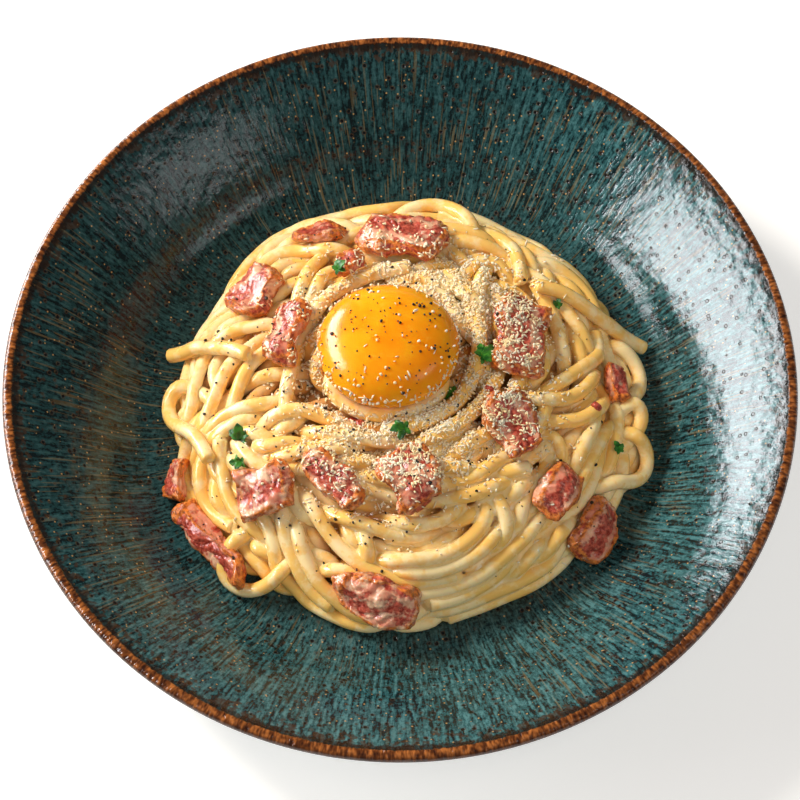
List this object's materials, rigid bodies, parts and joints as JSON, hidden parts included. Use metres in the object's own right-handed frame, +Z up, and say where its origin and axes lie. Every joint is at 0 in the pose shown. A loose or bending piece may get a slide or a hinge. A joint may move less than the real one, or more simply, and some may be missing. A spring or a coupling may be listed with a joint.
{
  "type": "spaghetti carbonara",
  "caption": "Wide shallow glazed stoneware bowl holding a coiled heap of creamy spaghetti with an egg yolk on top, fried pork, grated cheese, pepper and herbs.",
  "frame": {"origin": "centre of the bowl's foot ring, on the surface the bowl stands on", "axes": "+Z up along the bowl's axis, -Y towards the diner, +X to the diner's right"},
  "size_m": [0.2398, 0.2398, 0.0538],
  "materials": {
    "teal_glaze": "glossy reactive stoneware glaze, blue-green with dark and bronze specks in fine radial ribs, and a brown rim",
    "creamy_pasta": "cooked pasta, moist, coated with a pale cream and egg sauce",
    "egg_yolk": "raw yolk, wet and glossy orange",
    "fried_pork": "fried cured pork, marbled red and pink with browned edges and a film of fat",
    "grated_cheese": "finely grated hard cheese, dry and pale",
    "black_pepper": "coarsely cracked pepper, dry and dark",
    "green_herb": "chopped fresh parsley leaf"
  },
  "bodies": {
    "root": {"bowl": "teal_glaze", "spaghetti": "creamy_pasta", "egg_yolk": "egg_yolk", "pork_01": "fried_pork", "pork_02": "fried_pork", "pork_03": "fried_pork", "pork_04": "fried_pork", "pork_05": "fried_pork", "pork_06": "fried_pork", "pork_07": "fried_pork", "pork_08": "fried_pork", "pork_09": "fried_pork", "pork_10": "fried_pork", "pork_11": "fried_pork", "pork_12": "fried_pork", "pork_13": "fried_pork", "pork_14": "fried_pork", "pork_15": "fried_pork", "pork_16": "fried_pork"}
  },
  "joints": []
}
